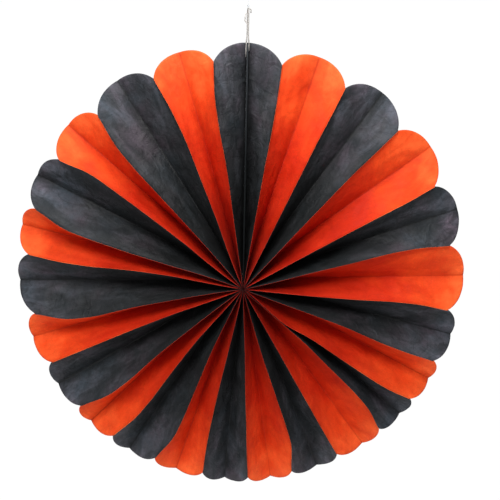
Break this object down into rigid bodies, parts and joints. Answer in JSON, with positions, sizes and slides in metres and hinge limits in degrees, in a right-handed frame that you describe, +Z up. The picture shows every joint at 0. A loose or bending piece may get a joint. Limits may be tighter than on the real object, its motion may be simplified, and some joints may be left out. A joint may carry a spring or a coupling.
{
  "type": "hanging paper fan flower",
  "caption": "Round folded tissue fan rosette, opened flat and closed at its end cards by a wire clip, hanging from a thin line with a loop.",
  "frame": {"origin": "top of the opening of the hanging loop, where the hook or pin that holds it bears", "axes": "+Z up along the taut line, +Y towards the back of the fan along its hub axis, +X to the right seen from the front"},
  "size_m": [0.294, 0.034, 0.3538],
  "materials": {
    "orange_tissue": "matte, slightly see-through",
    "black_tissue": "matte",
    "end_card": "matte, pale cut edge",
    "glue": "dried glue",
    "clip_wire": "drawn wire",
    "line": "clear"
  },
  "bodies": {
    "root": {"petal_01": "orange_tissue", "petal_02": "black_tissue", "petal_03": "orange_tissue", "petal_04": "black_tissue", "petal_05": "orange_tissue", "petal_06": "black_tissue", "petal_07": "orange_tissue", "petal_08": "black_tissue", "petal_09": "orange_tissue", "petal_10": "black_tissue", "petal_11": "orange_tissue", "petal_12": "black_tissue", "petal_13": "orange_tissue", "petal_14": "black_tissue", "petal_15": "orange_tissue", "petal_16": "black_tissue", "petal_17": "orange_tissue", "petal_18": "black_tissue", "petal_19": "orange_tissue", "petal_20": "black_tissue", "petal_21": "orange_tissue", "petal_22": "black_tissue", "petal_23": "orange_tissue", "half_petal_right": "black_tissue", "half_petal_left": "black_tissue", "end_card_right": "end_card", "end_card_left": "end_card", "hub_binding": "glue", "wire_clip": "clip_wire", "hanging_line": "line", "line_tie": "line", "hanging_loop": "line"}
  },
  "joints": []
}
